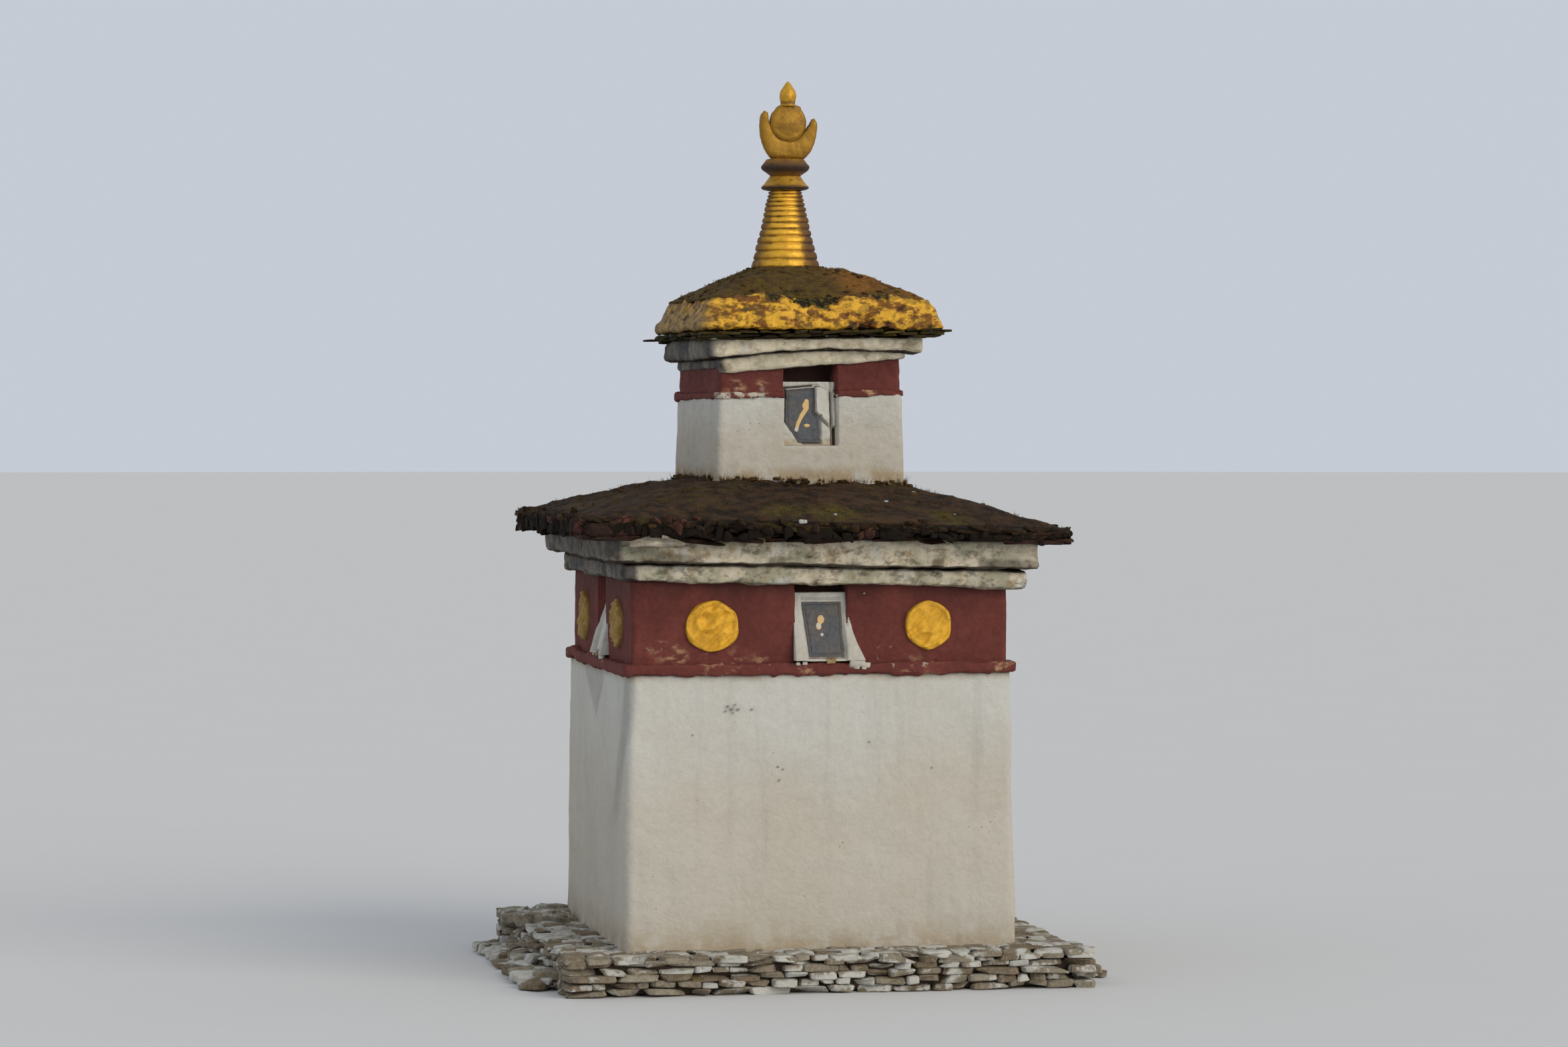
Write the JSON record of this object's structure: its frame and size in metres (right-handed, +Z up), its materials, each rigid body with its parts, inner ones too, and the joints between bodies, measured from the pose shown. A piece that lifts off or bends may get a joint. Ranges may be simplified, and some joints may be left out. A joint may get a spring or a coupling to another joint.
{
  "type": "square two-storey stupa",
  "caption": "Square whitewashed masonry stupa in two storeys with red bands, carved slates in niches, turf-covered slab roofs and a gilt ringed finial.",
  "frame": {"origin": "ground level under the centre of the plinth", "axes": "+Z up to the jewel, -Y out of the front face that shows in the picture, +X to the right of someone facing that front"},
  "size_m": [4.06, 3.62, 6.1695],
  "materials": {
    "whitewash": "lime-washed mud plaster on rubble, matt, stained and flaking",
    "red_wash": "red ochre wash on plaster and slates, matt, worn",
    "gilt_clay": "gold paint on lumpy clay plaster, half matt, worn",
    "gilt_metal": "weathered gilding on sheet copper",
    "carved_slate": "split dark slate with a painted low relief",
    "rubble": "rough grey-brown field stone splashed with lime wash",
    "roof_slab": "dark, damp, reddish-brown split stone",
    "turf": "dead turf, earth and moss over stones"
  },
  "bodies": {
    "root": {"plinth_front": "rubble", "plinth_right": "rubble", "plinth_back": "rubble", "plinth_left": "rubble", "body": "whitewash", "string_course": "red_wash", "red_band": "red_wash", "cornice_lower_course": "whitewash", "cornice_upper_course": "whitewash", "niche_bed_front": "whitewash", "niche_slate_front": "carved_slate", "gilt_disc_front_a": "gilt_clay", "gilt_disc_front_b": "gilt_clay", "eave_slabs_front": "roof_slab", "niche_bed_right": "whitewash", "niche_slate_right": "carved_slate", "gilt_disc_right_a": "gilt_clay", "gilt_disc_right_b": "gilt_clay", "eave_slabs_right": "roof_slab", "niche_bed_back": "whitewash", "niche_slate_back": "carved_slate", "gilt_disc_back_a": "gilt_clay", "gilt_disc_back_b": "gilt_clay", "eave_slabs_back": "roof_slab", "niche_bed_left": "whitewash", "niche_slate_left": "carved_slate", "gilt_disc_left_a": "gilt_clay", "gilt_disc_left_b": "gilt_clay", "eave_slabs_left": "roof_slab", "roof_mound": "turf", "upper_body": "whitewash", "upper_string_course": "red_wash", "upper_red_band": "red_wash", "upper_niche_bed": "whitewash", "upper_niche_slate": "carved_slate", "upper_cornice_lower_course": "whitewash", "upper_cornice_upper_course": "whitewash", "upper_eave_slates": "roof_slab", "gilt_rim": "gilt_clay", "roof_cap": "turf", "ring_spire": "gilt_metal", "lower_collar": "gilt_metal", "upper_collar": "gilt_metal", "crescent_moon": "gilt_metal", "sun_disc": "gilt_metal", "jewel": "gilt_metal"}
  },
  "joints": []
}
